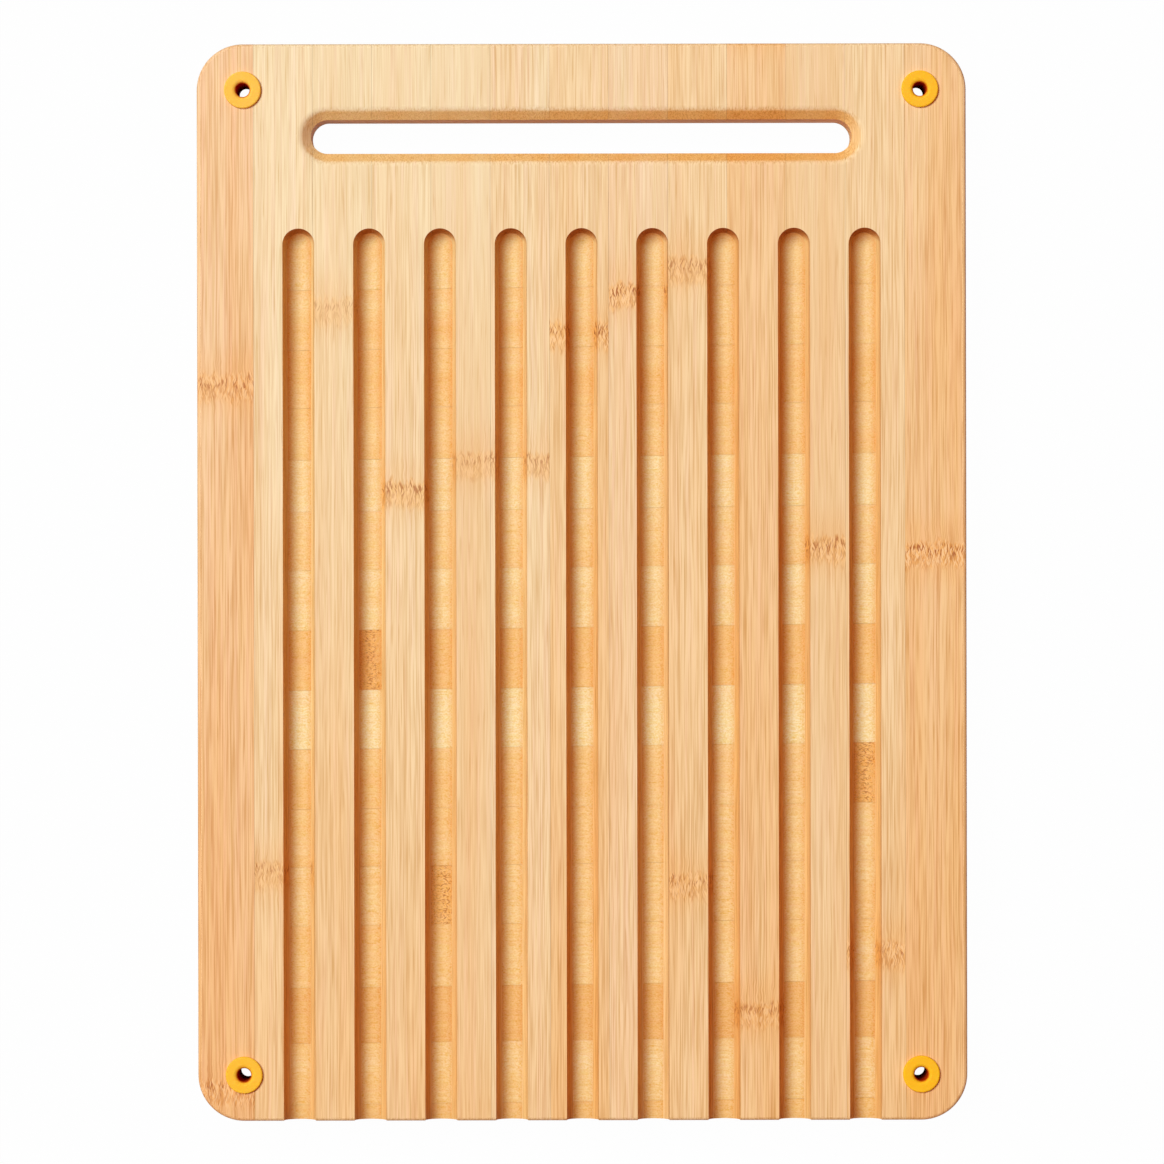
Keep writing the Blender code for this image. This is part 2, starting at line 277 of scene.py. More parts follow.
# %% [markdown]
# ## Bars of bamboo
#
# Every node of the frame is a straight bar before it is cut. Its sides come from the node's own
# points, squared up first for the middle layer, which lies a little out of square. Where a bar ends
# at the outside of the board it is left long, so that the cutters make every surface that shows.
# The bars of the two outer layers that end in the slot run to its middle line for the same reason.

# %% Measure each bar before it is cut
CORE_SKEW = math.radians(0.65)
NEAR = 1.5 * MM


def squared_spans(node, skew):
    """Low and high side of a node along its own length, width and height."""
    turn = Matrix.Rotation(-skew, 3, "Z")
    points = [turn @ vert.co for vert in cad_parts[node].data.vertices]
    return [[min(along), max(along)] for along in zip(*points)]


def overlong(spans, skew):
    """The spans of the bar before it is cut. The skewed bars of the core never end in the slot."""
    (left, right), (front, rear), (below, above) = spans
    slack = RIGHT_EDGE * abs(math.sin(skew)) + NEAR
    if left < slack - RIGHT_EDGE:
        left = -RIGHT_EDGE - slack - OVERRUN
    if right > RIGHT_EDGE - slack:
        right = RIGHT_EDGE + slack + OVERRUN
    if front < slack - REAR_EDGE:
        front = -REAR_EDGE - slack - OVERRUN
    if rear > REAR_EDGE - slack:
        rear = REAR_EDGE + slack + OVERRUN
    if not skew:
        front, rear = (SLOT_LINE if abs(end - SLOT_LINE) < SLOT_WIDTH else end for end in (front, rear))
    if below < BACK_Z + MERGE_DISTANCE:
        below -= OVERRUN
    if above > FACE_Z - MERGE_DISTANCE:
        above += OVERRUN
    return (left, right), (front, rear), (below, above)


bar_sides = [round((high - low) / MM, 1) for low, high in overlong(squared_spans("face_strip_05", 0), 0)]
print("face_strip_05 starts as a bar of", bar_sides, "mm")

# %% [markdown]
# A boolean takes the outline and the cutters from a bar, and only those that reach it are tried,
# which saves time. Then the shading is set: the curves are made of flat faces, which blend into
# each other, while a real edge has to stay crisp.

# %% Cut a bar and shade it
CRISP_FROM = math.radians(25)


def world_box(obj):
    corners = [obj.matrix_world @ Vector(corner) for corner in obj.bound_box]
    return [(min(along), max(along)) for along in zip(*corners)]


def meets(first, second):
    pairs = zip(world_box(first), world_box(second))
    return all(a_low < b_high and b_low < a_high for (a_low, a_high), (b_low, b_high) in pairs)


def applied(obj):
    """The object's mesh with its modifiers worked in."""
    bpy.context.view_layer.update()
    mesh = bpy.data.meshes.new_from_object(obj.evaluated_get(bpy.context.evaluated_depsgraph_get()))
    obj.modifiers.clear()
    return mesh


def shade(obj):
    """Round faces shade smoothly into flat ones, and every edge over 25 degrees stays crisp."""
    obj.data.shade_smooth()
    obj.data.set_sharp_from_angle(angle=CRISP_FROM)
    even = obj.modifiers.new("normals", "WEIGHTED_NORMAL")
    even.keep_sharp = True
    obj.data = applied(obj)


def cut_bar(node, skew=0):
    """The finished strip that stands for a node, at the origin, with its place in its mesh."""
    spans = overlong(squared_spans(node, skew), skew)
    bar = new_object(f"bamboo_{node}", box_mesh([high - low for low, high in spans]))
    turn = Matrix.Rotation(skew, 4, "Z")
    bar.data.transform(turn @ Matrix.Translation([(low + high) / 2 for low, high in spans]))
    trim = bar.modifiers.new("outline", "BOOLEAN")
    trim.operation = "INTERSECT"
    trim.object = outline_cutter
    for cutter in [slot_cutter, *groove_cutters, *hole_cutters]:
        if meets(bar, cutter):
            cut = bar.modifiers.new(cutter.name, "BOOLEAN")
            cut.operation = "DIFFERENCE"
            cut.object = cutter
    bar.data = applied(bar)
    shade(bar)
    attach(bar, "root")
    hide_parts(node)
    return bar


bpy.context.view_layer.update()
face_nodes = sorted(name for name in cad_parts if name.startswith("face_"))
core_nodes = sorted(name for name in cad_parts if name.startswith("core_"))
back_nodes = sorted(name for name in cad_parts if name.startswith("back_"))
strips = {node: cut_bar(node) for node in face_nodes + back_nodes}
strips.update({node: cut_bar(node, CORE_SKEW) for node in core_nodes})
for cutter in [outline_cutter, slot_cutter, *groove_cutters, *hole_cutters]:
    bpy.data.objects.remove(cutter)
print(len(strips), "strips,", sum(len(strip.data.loop_triangles) for strip in strips.values()), "triangles")

# %% [markdown]
# ## Silicone grommets
#
# A grommet is one moulded ring: a waist through the board, a flange on both faces and a bore with
# round mouths. Its half section is drawn once and spun through a full turn, as for anything round.

# %% Spin a grommet
FLANGE_DIAMETER = 12 * MM
FLANGE_EDGE_RADIUS = 0.5 * MM
BORE_DIAMETER = 4.4 * MM
BORE_MOUTH_RADIUS = 1.4 * MM
SEAT_GAP = 0.05 * MM
FILLET_SEGMENTS = 10


def quarter_arc(centre, radius, start):
    """Points of a quarter circle from the start angle, in degrees, onwards."""
    for step in range(FILLET_SEGMENTS + 1):
        angle = math.radians(start + 90 * step / FILLET_SEGMENTS)
        yield centre[0] + radius * math.cos(angle), centre[1] + radius * math.sin(angle)


def grommet_profile(node):
    """Half section about the middle height: waist, flange and round bore mouth."""
    low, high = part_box(node)
    top = (high.z - low.z) / 2
    seat = THICKNESS / 2 + SEAT_GAP
    flange = FLANGE_DIAMETER / 2
    bore = BORE_DIAMETER / 2
    upper = [(WAIST_DIAMETER / 2, seat), (flange, seat)]
    upper += quarter_arc((flange - FLANGE_EDGE_RADIUS, top - FLANGE_EDGE_RADIUS), FLANGE_EDGE_RADIUS, 0)
    upper += quarter_arc((bore + BORE_MOUTH_RADIUS, top - BORE_MOUTH_RADIUS), BORE_MOUTH_RADIUS, 90)
    return upper + [(out, -up) for out, up in reversed(upper)]


def spun_grommet(place):
    """The finished grommet of one corner."""
    node = f"grommet_{place}"
    bm = bmesh.new()
    ring = [bm.verts.new((out, 0, up)) for out, up in grommet_profile(node)]
    section = [bm.edges.new(pair) for pair in zip(ring, ring[1:] + ring[:1])]
    bmesh.ops.spin(
        bm, geom=ring + section, cent=(0, 0, 0), axis=(0, 0, 1),
        angle=math.radians(360), steps=TURNED_SEGMENTS, use_merge=True,
    )
    bmesh.ops.translate(bm, vec=middle(node), verts=bm.verts)
    grommet = new_object(f"silicone_{node}", bm)
    shade(grommet)
    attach(grommet, "root")
    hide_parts(node)
    return grommet


grommets = [spun_grommet(place) for place in GROMMET_PLACES]
print(len(grommets), "grommets of", len(grommets[0].data.polygons), "faces")

# %% [markdown]
# ## A helper for materials
#
# Colours are written as the hex values that a paint program shows. The renderer counts in linear
# light, so one function turns them. Another adds a node, sets it and links it in one call.

# %% Colours and nodes
# The Mix node's two colour inputs and its colour output, then settings that come back often
MIX_A, MIX_B, MIX_OUT = 6, 7, 2
BLEND = {"output": MIX_OUT, "data_type": "RGBA"}
MULTIPLY = {**BLEND, "blend_type": "MULTIPLY"}
SMOOTH = {"interpolation_type": "SMOOTHSTEP"}


def linear(hex_color):
    """Linear RGBA of an sRGB hex colour."""
    shares = [int(hex_color[at : at + 2], 16) / 255 for at in (1, 3, 5)]
    return (*[s / 12.92 if s <= 0.04045 else ((s + 0.055) / 1.055) ** 2.4 for s in shares], 1)


def add_node(tree, kind, *inputs, named=None, output=0, **settings):
    """Adds a node, fills its inputs in order or by name, and gives back one of its outputs."""
    node = tree.nodes.new("ShaderNode" + kind)
    for name, value in settings.items():
        setattr(node, name, value)
    for key, value in [*enumerate(inputs), *(named or {}).items()]:
        if isinstance(value, bpy.types.NodeSocket):
            tree.links.new(value, node.inputs[key])
        else:
            node.inputs[key].default_value = value
    return node.outputs[output] if node.outputs else None


def new_material(name):
    """A material without nodes, and its node tree."""
    material = bpy.data.materials.new(name)
    material.use_nodes = True
    material.node_tree.nodes.clear()
    return material, material.node_tree


print("the middle grey of a paint program is", round(linear("#808080")[0], 3), "in linear light")

# %% [markdown]
# ## What sets one strip apart
#
# Every strip comes from another stalk, or from another height of one. So each carries a few numbers in its
# mesh: how far its colour has gone from cream to tan, how fast it pales towards the rear end, which is
# partly its own colour and partly painted light, as if that end were lit more strongly, how pink it is, how
# strong its lines are, where its knuckle lies and how torn it is, how far its fibres lean, and a seed that
# shifts its pattern. One material then serves all strips of a layer. The knuckles are the rings of the
# stalk, 20 to 35 cm apart.
#
# The colours and the places of the knuckles follow the strips of the photographed board. Its back
# isn't seen, so the back strips take the colours of the face and have their knuckles elsewhere.

# %% Write each strip's numbers into its mesh
# One value per strip, from left to right, and for the core from front to rear. Lengths in millimetres
LENGTHWISE_TONES = (0.42, 0.17, 0.20, 0.18, 0.22, 0.19, 0.30, 0.20, 0.28, 0.42, 0.29, 0.29, 0.44)
# How fast each strip pales towards the rear end: partly its own colour, partly painted light
LENGTHWISE_PALING_WITH_PAINTED_LIGHT = (0.70, 1.10, 1.10, 0.90, 1.20, 0.60, 0.85, 0.30, 0.50, 0.35, 0.20, 0.75, 0.50)
LENGTHWISE_PINKS = (0.32, 0.08, 0.02, 0.04, 0.06, 0.10, 0.02, 0.24, 0.01, 0.11, 0.07, 0.01, 0.12)
LENGTHWISE_LINES = (1.15, 0.85, 0.7, 0.85, 0.5, 1.0, 1.0, 0.8, 1.05, 1.1, 0.6, 1.1, 1.25)
LENGTHWISE_KNUCKLES = (65.0, -93.6, 90.0, 30.5, 39.6, 39.6, 81.9, 94.6, 103.0, -139.0, 12.0, -119.6, 10.4)
LENGTHWISE_TORN = (0.9, 0.7, 0.5, 1.0, 0.6, 0.8, 1.2, 1.2, 0.8, 0.8, 1.0, 0.9, 1.2)
LENGTHWISE_INTERNODES = {1: 229, 9: 200}
CROSSWISE_TONES = (
    0.44, 0.25, 0.62, 0.32, 0.31, 0.33, 0.37, 0.09, 0.51, 0.23,
    0.38, 0.24, 0.42, 0.52, 0.47, 0.46, 0.46, 0.34, 0.38,
)
CROSSWISE_KNUCKLES = {5: -46, 7: 92, 9: -69}
CROSSWISE_NUMBERS = {"fade": 0.8, "pink": 0.3, "lines": 0.38, "torn": 0.9}
LONG_INTERNODE = 320
LENGTHWISE_LEAN = 0.2
CROSSWISE_LEAN = 0.6
UNSEEN_KNUCKLE_SHIFTS = (60, 240)
LAST_SEED = 40
RAIL_NUMBER = 7  # the grip rail takes the numbers of the middle strip
draw = random.Random(11)


def write_attribute(mesh, name, domain, values):
    mesh.attributes.new(name, "FLOAT", domain).data.foreach_set("value", values)


def write_numbers(node, **numbers):
    """Gives every point of a strip the strip's own numbers."""
    mesh = strips[node].data
    for name, value in numbers.items():
        write_attribute(mesh, name, "POINT", [value] * len(mesh.vertices))


for node in face_nodes + back_nodes:
    number = int(node[-2:]) if node[-2:].isdigit() else RAIL_NUMBER
    unseen = draw.uniform(*UNSEEN_KNUCKLE_SHIFTS) if node.startswith("back_") else 0
    write_numbers(
        node, tone=LENGTHWISE_TONES[number - 1], fade=LENGTHWISE_PALING_WITH_PAINTED_LIGHT[number - 1],
        pink=LENGTHWISE_PINKS[number - 1],
        lines=LENGTHWISE_LINES[number - 1], torn=LENGTHWISE_TORN[number - 1],
        knuckle=LENGTHWISE_KNUCKLES[number - 1] + unseen,
        internode=LENGTHWISE_INTERNODES.get(number, LONG_INTERNODE),
        lean=draw.uniform(-LENGTHWISE_LEAN, LENGTHWISE_LEAN), seed=draw.uniform(0, LAST_SEED),
    )
for node in core_nodes:
    number = int(node[-2:])
    write_numbers(
        node, **CROSSWISE_NUMBERS, tone=CROSSWISE_TONES[number - 1],
        knuckle=CROSSWISE_KNUCKLES.get(number, LONG_INTERNODE / 2), internode=LONG_INTERNODE,
        lean=draw.uniform(-CROSSWISE_LEAN, CROSSWISE_LEAN), seed=draw.uniform(0, LAST_SEED),
    )
print("numbers on", len(strips), "strips")

# %% [markdown]
# A router bit tears and presses the fibres that it crosses, and oil gathers in them. So the faces that the
# bits made, in the grooves and in the slot, are marked, to be darker and more golden than the sanded faces.
# On the groove walls, on the slopes of the slot and at the closed ends of the grooves that darkening is
# painted shade.

# %% Mark the faces that the router made
TOLERANCE = 0.02 * MM
LEVEL = 0.999
HANGING = -0.9


def in_groove(polygon):
    """Whether a face belongs to the wall or the floor of a groove."""
    centre = polygon.center
    beside = min(abs(centre.x - axis) for axis in GROOVE_AXES)
    if beside > groove_radius + TOLERANCE or centre.y > groove_centre + groove_radius + TOLERANCE:
        return False
    if centre.y < TOLERANCE - REAR_EDGE or abs(centre.z - FACE_Z) < TOLERANCE:
        return False
    return centre.z > FACE_Z - GROOVE_DEPTH_REAR - TOLERANCE and polygon.normal.z > HANGING


def in_slot(polygon):
    """Whether a face belongs to the slot's walls or slopes."""
    centre = polygon.center
    reach = SLOT_WIDTH / 2 + SLOT_FLARE + TOLERANCE
    if abs(centre.z - MIDDLE_Z) > THICKNESS / 2 - TOLERANCE or abs(centre.y - SLOT_LINE) > reach:
        return False
    return abs(centre.x) < SLOT_LENGTH / 2 + SLOT_FLARE + TOLERANCE and abs(polygon.normal.z) < LEVEL


routed_count = 0
for strip in strips.values():
    for name, test in (("routed", in_groove), ("slotted", in_slot)):
        marks = [float(test(polygon)) for polygon in strip.data.polygons]
        write_attribute(strip.data, name, "FACE", marks)
        routed_count += sum(marks)
print(int(routed_count), "routed faces")

# %% [markdown]
# ## Bamboo, planed, sanded and oiled
#
# Bamboo is a giant grass. It has no year rings, only bundles of fibre that run the whole length of
# a strip, a few tenths of a millimetre thick. They give the eye fine straight lines, light and dark,
# and a band of broken, slanting fibres at each knuckle. Cut across, the same bundles are dark dots.
# So the pattern is solid, stretched along the fibres, and each cut shows its own side of it. The
# finest lines, which no picture of the whole board can hold, are drawn about twice as coarse.
#
# The finish is built up in steps, with one function and one cell for each. Every function adds its
# nodes and gives back the sockets that later steps read.
#
# ### Where a point lies
#
# Object coordinates are turned until the fibres of either layer run along the second axis, and
# counted in millimetres. Noise that is squeezed across the fibres and drawn out along them makes
# lines. Each strip's seed moves it to a part of the noise that no other strip shows.

# %% Read the place and stretch the noise
STRIP_NUMBERS = (
    "tone", "fade", "pink", "lines", "torn", "knuckle", "internode", "lean", "seed", "routed", "slotted",
)
SEED_STEPS = (31.0, 97.0, 53.0)
GRAIN_ROUGHNESS = 0.6


def grain(add, place, across, along, detail=1.0, shift=0.0):
    """Noise about 0, with patches of the given size in millimetres."""
    scales = (1 / across, 1 / along, 1 / across)
    scaled = add("VectorMath", place, scales, (shift, shift, shift), operation="MULTIPLY_ADD")
    noise = add(
        "TexNoise", named={"Vector": scaled, "Scale": 1.0, "Detail": detail, "Roughness": GRAIN_ROUGHNESS}
    )
    return add("Math", noise, 0.5, operation="SUBTRACT")


def strip_place(add, coordinates, fibre_turn, seed):
    """The place across, along and in depth in millimetres, then moved by the seed, and that move."""
    scales = (1 / MM, 1 / MM, 1 / MM)
    place = add("Mapping", coordinates, (0, 0, 0), (0, 0, fibre_turn), scales, vector_type="POINT")
    own = add("VectorMath", SEED_STEPS, named={"Scale": seed}, operation="SCALE")
    return add("SeparateXYZ", place).node.outputs, add("VectorMath", place, own, operation="ADD"), own


print("each strip's pattern is moved by up to", LAST_SEED * max(SEED_STEPS), "mm")

# %% [markdown]
# ### Knuckles
#
# A knuckle is a ring of the stalk, where its leaves once grew. On a planed strip it is a band of
# broken fibres, about a centimetre long, with a row of dark ends at the ring itself. The Wrap
# operation counts from the nearest knuckle either way, so one place and one spacing put all of a
# strip's knuckles where they belong. Noise then makes the edge of the band ragged, because the
# fibres end at different heights.

# %% Find the band of a knuckle
# Patches across and along the fibres, and edges along them, all in millimetres from the ring
RAGGED_PATCH, RAGGED_REACH = (1.4, 6.0), 7.0
ROW_EDGE = (0.7, 1.9)
BAND_START, BAND_END = (-8.0, -4.0), (1.5, 3.5)
HALO_EDGE = (2.0, 16.0)


def knuckle_band(add, along, seeded, numbers):
    """The torn band, the row of dark ends in it and the wider halo, each from 0 to 1."""
    half = add("Math", numbers["internode"], 0.5, operation="MULTIPLY")
    minus_half = add("Math", numbers["internode"], -0.5, operation="MULTIPLY")
    beyond = add("Math", along, numbers["knuckle"], operation="SUBTRACT")
    from_ring = add("Math", beyond, half, minus_half, operation="WRAP")
    ragged = grain(add, seeded, *RAGGED_PATCH)
    ragged = add("Math", ragged, RAGGED_REACH, from_ring, operation="MULTIPLY_ADD")
    row = add("MapRange", add("Math", ragged, operation="ABSOLUTE"), *ROW_EDGE, 1.0, 0.0, **SMOOTH)
    start = add("MapRange", ragged, *BAND_START, 0.0, 1.0, **SMOOTH)
    end = add("MapRange", ragged, *BAND_END, 1.0, 0.0, **SMOOTH)
    band = add("Math", start, end, operation="MULTIPLY")
    band = add("Math", band, numbers["torn"], operation="MULTIPLY")
    halo = add("MapRange", add("Math", from_ring, operation="ABSOLUTE"), *HALO_EDGE, 1.0, 0.0, **SMOOTH)
    return band, row, halo


print("a knuckle's band is about", (sum(BAND_END) - sum(BAND_START)) / 2, "mm long")

# %% [markdown]
# ### Fibres
#
# Fibres run nearly straight. They drift sideways a little, wave at a knuckle, and lean in depth, so
# the places are moved sideways before any line is drawn on them. The lines then come in several
# widths, each a noise of its own: fine lines and hairs, broad bands, pinkish and yellowish tints,
# a few dark threads, and in the grooves the short flecks that the bit leaves.

# %% Bend the fibres and draw their lines
# How far the patches reach across and along the fibres, and how far they move them, in millimetres
DRIFT_PATCH, DRIFT_REACH = (16.0, 60.0), 1.1
WAVE_PATCH, WAVE_REACH = (2.0, 5.0), 1.4
# Each pattern's width and length in millimetres, its detail, and a shift that parts it from the rest
LINE_PATTERNS = {
    "fine": (0.47, 90.0, 1.0, 0.0),
    "hair": (0.36, 16.0, 0.0, 5.1),
    "broad": (9.0, 180.0, 1.0, 19.1),
    "tint": (1.1, 60.0, 1.0, 31.7),
    "flecks": (0.42, 0.58, 1.0, 3.7),
    "threads": (0.45, 14.0, 0.0, 43.9),
}


def fibre_lines(add, place, seeded, own, halo, lean):
    """Places that follow the bent fibres, and all patterns of lines on them."""
    across, along, depth = place
    moved = add("Math", grain(add, seeded, *DRIFT_PATCH), DRIFT_REACH, across, operation="MULTIPLY_ADD")
    wave = add("Math", grain(add, seeded, *WAVE_PATCH), halo, operation="MULTIPLY")
    moved = add("Math", wave, WAVE_REACH, moved, operation="MULTIPLY_ADD")
    moved = add("Math", lean, depth, moved, operation="MULTIPLY_ADD")
    fibres = add("VectorMath", add("CombineXYZ", moved, along, depth), own, operation="ADD")
    return fibres, {name: grain(add, fibres, *pattern) for name, pattern in LINE_PATTERNS.items()}


print("lines of", len(LINE_PATTERNS), "kinds, the finest", min(LINE_PATTERNS.values())[0], "mm wide")

# %% [markdown]
# ### How a face is cut
#
# The same bundles are lines on a planed face and dark dots on end grain. The angle between a face
# and the fibres tells one from the other, and the height of its normal tells a wall from a floor.

# %% Tell end grain and walls
END_GRAIN_EDGE = (0.15, 0.75)
STEEP_EDGE = (0.6, 0.98)


def how_cut(add, normal, fibre_turn):
    """How much a face is cut across the fibres, and how steep it is, each from 0 to 1."""
    fibre_axis = (math.sin(fibre_turn), math.cos(fibre_turn), 0)
    facing = add("VectorMath", normal, fibre_axis, operation="DOT_PRODUCT", output="Value")
    facing = add("Math", facing, operation="ABSOLUTE")
    end_grain = add("MapRange", facing, *END_GRAIN_EDGE, 0.0, 1.0, **SMOOTH)
    upright = add("Math", add("SeparateXYZ", normal, output=2), operation="ABSOLUTE")
    steep = add("MapRange", upright, *STEEP_EDGE, 1.0, 0.0, **SMOOTH)
    return end_grain, steep


least_cut = math.degrees(math.asin(END_GRAIN_EDGE[0]))
print("end grain starts to show on faces cut", round(least_cut), "degrees across the fibres")

# %% [markdown]
# ### Ground colour
#
# The ground is the soft tissue that the bundles of fibre lie in. Its tone goes from cream over gold and tan
# to brown. It pales towards the rear end, partly as painted light, changes slowly from side to side and is
# a little darker round a knuckle. Pinkish and yellowish lines lie side by side in it.

# %% Colour the ground
CREAM, GOLD, TAN, BROWN = "#FFE1CC", "#FAC092", "#EEA770", "#C87C48"
GOLD_AT, TAN_AT = 0.25, 0.55
BROWN_TONE = 2.0
YELLOWISH, PINKISH = "#FAFFE5", "#FBF5F0"
BROAD_SHARE, HALO_SHARE, TINT_SHARE = 0.4, 0.12, 1.2


def ground_color(add, numbers, rearward, halo, patterns):
    """The tone of a point and the colour of its ground."""
    # Paler towards the rear end, partly painted light, as if that end were lit more strongly
    faded = add("Math", rearward, numbers["fade"], operation="MULTIPLY")
    tone = add("Math", numbers["tone"], faded, operation="SUBTRACT")
    tone = add("Math", patterns["broad"], BROAD_SHARE, tone, operation="MULTIPLY_ADD")
    tone = add("Math", halo, HALO_SHARE, tone, operation="MULTIPLY_ADD")
    ramp = add("ValToRGB", add("Math", tone, 1 / BROWN_TONE, operation="MULTIPLY"))
    stops = ramp.node.color_ramp.elements
    stops[0].position, stops[0].color = 0.0, linear(CREAM)
    stops[1].position, stops[1].color = 1.0, linear(BROWN)
    for position, color in ((GOLD_AT, GOLD), (TAN_AT, TAN)):
        stops.new(position).color = linear(color)
    pinkness = add(
        "Math", patterns["tint"], TINT_SHARE, numbers["pink"], operation="MULTIPLY_ADD", use_clamp=True
    )
    hue = add("Mix", pinkness, named={MIX_A: linear(YELLOWISH), MIX_B: linear(PINKISH)}, **BLEND)
    return tone, add("Mix", 1.0, named={MIX_A: ramp, MIX_B: hue}, **MULTIPLY)


print("tones from 0, cream, over", GOLD_AT * BROWN_TONE, "gold, and", TAN_AT * BROWN_TONE, "tan")

# %% [markdown]
# ### Dark lines
#
# The bundles are darker than their ground. Fine lines and hairs add up to their pattern, which is
# stronger on end grain and grows weaker towards the rear end, as on the photographed board.

# %% Shade the lines
FINE_SHARE, HAIR_SHARE, THREAD_SHARE = 1.8, 1.4, 0.35
END_GRAIN_LINES = 0.3
LINES_PER_METRE_REARWARD = -1.2
MEAN_SHADOW = 0.3
THREAD_EDGE = (0.16, 0.3)


def line_shadow(add, numbers, rearward, end_grain, patterns, speckle):
    """How dark the lines are at a point, from 0 to 1."""
    hair = add("Math", patterns["hair"], HAIR_SHARE, operation="MULTIPLY")
    lines = add("Math", patterns["fine"], FINE_SHARE, hair, operation="MULTIPLY_ADD")
    strength = add("Math", end_grain, END_GRAIN_LINES, numbers["lines"], operation="MULTIPLY_ADD")
    strength = add("Math", rearward, LINES_PER_METRE_REARWARD, strength, operation="MULTIPLY_ADD")
    lines = add("Math", lines, strength, operation="MULTIPLY")
    speckled = add("Math", numbers["routed"], speckle, operation="MULTIPLY")
    speckled = add("Math", patterns["flecks"], speckled, operation="MULTIPLY")
    lines = add("Math", lines, speckled, operation="ADD")
    shadow = add("Math", lines, MEAN_SHADOW, operation="ADD")
    threads = add("MapRange", patterns["threads"], *THREAD_EDGE, 0.0, 1.0, **SMOOTH)
    return add("Math", threads, THREAD_SHARE, shadow, operation="MULTIPLY_ADD", use_clamp=True)


print("the lines take", MEAN_SHADOW, "of their full shade on average")

# %% [markdown]
# ### Broken fibres at a knuckle
#
# Two sets of short strokes slant either way, as the broken fibres do. Where either stroke is strong
# the bamboo is dark, where both are weak it is pale, and all of the band is a little warmer than the
# strip. The pale strokes stay on the sanded faces only, because oil evens out the routed ones.

# %% Draw the broken fibres
KNUCKLE_GLOW, KNUCKLE_PALE, KNUCKLE_DARK = "#FFEBC0", "#FFD09B", "#A8642E"
STROKE_WIDTH = 0.36
STROKE_SLANT = 0.22
GLOW_SHARE = 0.6
PALE_EDGE, PALE_SHARE = (-0.06, -0.16), 0.55
DARK_EDGE, DARK_SHARE, ROW_SHARE = (0.09, 0.17), 0.3, 0.35


def broken_fibres(add, color, fibres, numbers, band, row, stroke):
    """The colour with a knuckle's strokes in it, and how dark they are."""
    slants = [
        grain(
            add, add("Mapping", fibres, (0, 0, 0), (0, 0, slant), vector_type="POINT"),
            STROKE_WIDTH, stroke, detail=0.0,
        )
        for slant in (STROKE_SLANT, -STROKE_SLANT)
    ]
    either = add("Math", *slants, operation="MAXIMUM")
    both = add("Math", *slants, operation="MINIMUM")
    warm = add("Math", band, GLOW_SHARE, operation="MULTIPLY", use_clamp=True)
    color = add("Mix", warm, named={MIX_A: color, MIX_B: linear(KNUCKLE_GLOW)}, **MULTIPLY)
    pale = add("MapRange", both, *PALE_EDGE, 0.0, PALE_SHARE, **SMOOTH)
    sanded = add("Math", 1.0, numbers["routed"], operation="SUBTRACT")
    sanded = add("Math", band, sanded, operation="MULTIPLY")
    pale = add("Math", pale, sanded, operation="MULTIPLY", use_clamp=True)
    color = add("Mix", pale, named={MIX_A: color, MIX_B: linear(KNUCKLE_PALE)}, **BLEND)
    dark = add("MapRange", either, *DARK_EDGE, 0.0, 1.0, **SMOOTH)
    deep = add("Math", row, ROW_SHARE, DARK_SHARE, operation="MULTIPLY_ADD")
    deep = add("Math", deep, band, operation="MULTIPLY")
    dark = add("Math", dark, deep, operation="MULTIPLY", use_clamp=True)
    return add("Mix", dark, named={MIX_A: color, MIX_B: linear(KNUCKLE_DARK)}, **MULTIPLY), dark


print("strokes slant by", round(math.degrees(STROKE_SLANT)), "degrees")

# %% [markdown]
# ### Oil and painted shade
#
# The board is oiled, and cut or torn fibres drink more of it than sanded ones, so routed faces take a tint
# of their own and end grain is darker. The groove walls, the slopes and walls of the slot and the closed
# ends of the grooves are made darker and more golden still, and that part is painted shade.

# %% Soak the routed faces and paint the shade of their walls
# The wall and slope colours are painted shade; the end colour is end grain, deepened into painted shade
# where routed
FLOOR_TINT, WALL_PAINTED_SHADE, SLOPE_OIL_AND_PAINTED_SHADE, END_GRAIN_AND_PAINTED_SHADE = "#EFF8F1", "#F8EACA", "#FDE0A8", "#D2A276"
SLOPE_SOAKED_AND_SHADED, SLOPE_END_GRAIN = 0.45, 0.5
END_SHARE_ROUTED_PAINTED_SHADE, END_SHARE_SANDED = 0.8, 0.1


